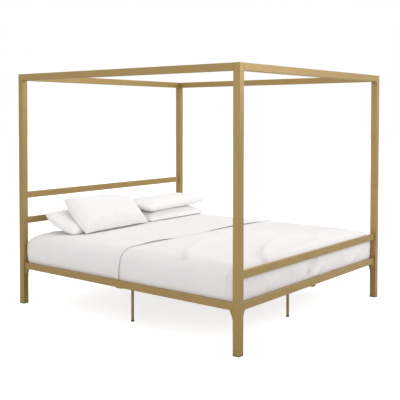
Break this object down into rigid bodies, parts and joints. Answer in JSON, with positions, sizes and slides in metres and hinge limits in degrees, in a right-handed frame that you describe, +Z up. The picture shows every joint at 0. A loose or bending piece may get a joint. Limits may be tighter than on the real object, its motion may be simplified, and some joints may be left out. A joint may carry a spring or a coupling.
{
  "type": "four poster canopy bed",
  "caption": "King-size metal canopy bed of square tube with open posts, slat deck and support legs, made up with mattress, white sheets and pillows",
  "frame": {"origin": "on the floor, under the middle of the bed", "axes": "X across the bed with left (seen from the foot) at -X, +Y towards the head, +Z up"},
  "size_m": [2.02, 2.13, 1.829],
  "materials": {
    "gold_paint": "satin",
    "deck_steel": "satin",
    "plated_steel": "satin",
    "black_plastic": "matte",
    "mattress_ticking": "matte",
    "sheet_cotton": "matte",
    "pillow_cotton": "matte"
  },
  "bodies": {
    "root": {"canopy_plugs": "deck_steel", "canopy_rail_foot": "gold_paint", "canopy_rail_head": "gold_paint", "canopy_rail_left": "gold_paint", "canopy_rail_right": "gold_paint", "centre_beam": "deck_steel", "centre_beam_hanger_foot": "deck_steel", "centre_beam_hanger_head": "deck_steel", "cross_beam_hangers_left": "deck_steel", "cross_beam_hangers_right": "deck_steel", "cross_beam_left": "deck_steel", "cross_beam_right": "deck_steel", "foot_low_rail": "gold_paint", "foot_rail_brackets": "gold_paint", "foot_top_rail": "gold_paint", "head_low_rail": "gold_paint", "head_mid_rail": "gold_paint", "head_rail_brackets": "gold_paint", "head_top_rail": "gold_paint", "leg_feet": "black_plastic", "post_caps": "gold_paint", "post_glide_foot_left": "black_plastic", "post_glide_foot_right": "black_plastic", "post_glide_head_left": "black_plastic", "post_glide_head_right": "black_plastic", "post_lower_foot_left": "gold_paint", "post_lower_foot_right": "gold_paint", "post_lower_head_left": "gold_paint", "post_lower_head_right": "gold_paint", "post_sleeves": "deck_steel", "post_upper_foot_left": "gold_paint", "post_upper_foot_right": "gold_paint", "post_upper_head_left": "gold_paint", "post_upper_head_right": "gold_paint", "rail_bolts": "plated_steel", "rail_nuts": "plated_steel", "side_rail_brackets_left": "gold_paint", "side_rail_brackets_right": "gold_paint", "side_rail_left": "gold_paint", "side_rail_right": "gold_paint", "slat_ledge_left": "deck_steel", "slat_ledge_right": "deck_steel", "slats": "deck_steel", "support_leg_centre": "gold_paint", "support_leg_foot": "gold_paint", "support_leg_head": "gold_paint", "support_leg_left": "gold_paint", "support_leg_right": "gold_paint"},
    "mattress": {"mattress": "mattress_ticking", "fitted_sheet": "sheet_cotton", "top_sheet": "sheet_cotton"},
    "pillow_left_back": {"pillow_left_back": "pillow_cotton"},
    "pillow_left_front": {"pillow_left_front": "pillow_cotton"},
    "pillow_right_lower": {"pillow_right_lower": "pillow_cotton"},
    "pillow_right_upper": {"pillow_right_upper": "pillow_cotton"}
  },
  "joints": [
    {"name": "mattress_lift", "type": "slide", "parent": "root", "child": "mattress", "axis": [0, 0, 1], "range_m": [0, 0.3]},
    {"name": "pillow_left_back_lift", "type": "slide", "parent": "mattress", "child": "pillow_left_back", "axis": [0, 0, 1], "range_m": [0, 0.2]},
    {"name": "pillow_left_front_lift", "type": "slide", "parent": "pillow_left_back", "child": "pillow_left_front", "axis": [0, 0, 1], "range_m": [0, 0.2]},
    {"name": "pillow_right_lower_lift", "type": "slide", "parent": "mattress", "child": "pillow_right_lower", "axis": [0, 0, 1], "range_m": [0, 0.2]},
    {"name": "pillow_right_upper_lift", "type": "slide", "parent": "pillow_right_lower", "child": "pillow_right_upper", "axis": [0, 0, 1], "range_m": [0, 0.2]}
  ]
}
